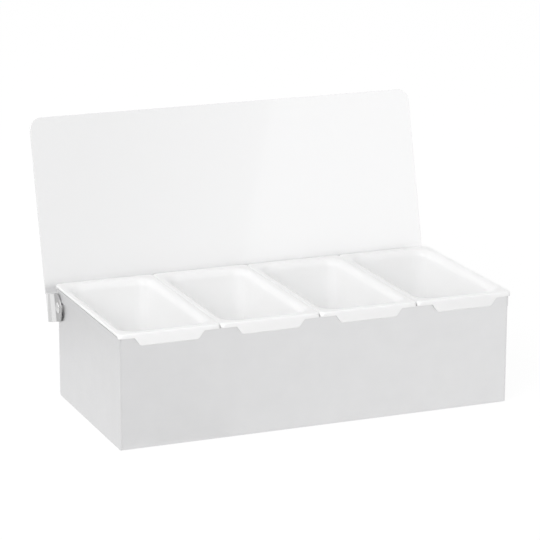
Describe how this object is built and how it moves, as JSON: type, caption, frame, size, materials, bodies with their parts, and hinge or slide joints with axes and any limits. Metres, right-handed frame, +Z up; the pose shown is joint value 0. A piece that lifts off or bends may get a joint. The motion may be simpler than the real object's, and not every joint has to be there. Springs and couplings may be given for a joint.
{
  "type": "condiment caddy",
  "caption": "Countertop sheet steel caddy that holds lift-out plastic cups side by side under one lid that flips back on two side pivots.",
  "frame": {"origin": "middle of the housing's flat underside", "axes": "+X along the front from left to right, -Y out of the front, +Z up"},
  "size_m": [0.315, 0.1938, 0.2045],
  "materials": {
    "satin_steel": "satin",
    "polished_steel": "polished",
    "white_plastic": "satin"
  },
  "bodies": {
    "housing": {"housing_wrapper": "satin_steel", "side_panel_left": "satin_steel", "side_panel_right": "satin_steel", "pivot_rivet_left": "polished_steel", "pivot_rivet_right": "polished_steel", "spacer_washer_left": "polished_steel", "spacer_washer_right": "polished_steel", "backing_washer_left": "polished_steel", "backing_washer_right": "polished_steel"},
    "lid_body": {"lid": "polished_steel"},
    "insert_1_body": {"insert_1": "white_plastic"},
    "insert_2_body": {"insert_2": "white_plastic"},
    "insert_3_body": {"insert_3": "white_plastic"},
    "insert_4_body": {"insert_4": "white_plastic"}
  },
  "joints": [
    {"name": "lid_hinge", "type": "hinge", "parent": "housing", "child": "lid_body", "pos_m": [0, 0.066, 0.07], "axis": [-1, 0, 0], "range_deg": [-105.1, 0]},
    {"name": "insert_1_lift", "type": "slide", "parent": "housing", "child": "insert_1_body", "axis": [0, 0, 1], "range_m": [0, 0.1]},
    {"name": "insert_2_lift", "type": "slide", "parent": "housing", "child": "insert_2_body", "axis": [0, 0, 1], "range_m": [0, 0.1]},
    {"name": "insert_3_lift", "type": "slide", "parent": "housing", "child": "insert_3_body", "axis": [0, 0, 1], "range_m": [0, 0.1]},
    {"name": "insert_4_lift", "type": "slide", "parent": "housing", "child": "insert_4_body", "axis": [0, 0, 1], "range_m": [0, 0.1]}
  ]
}
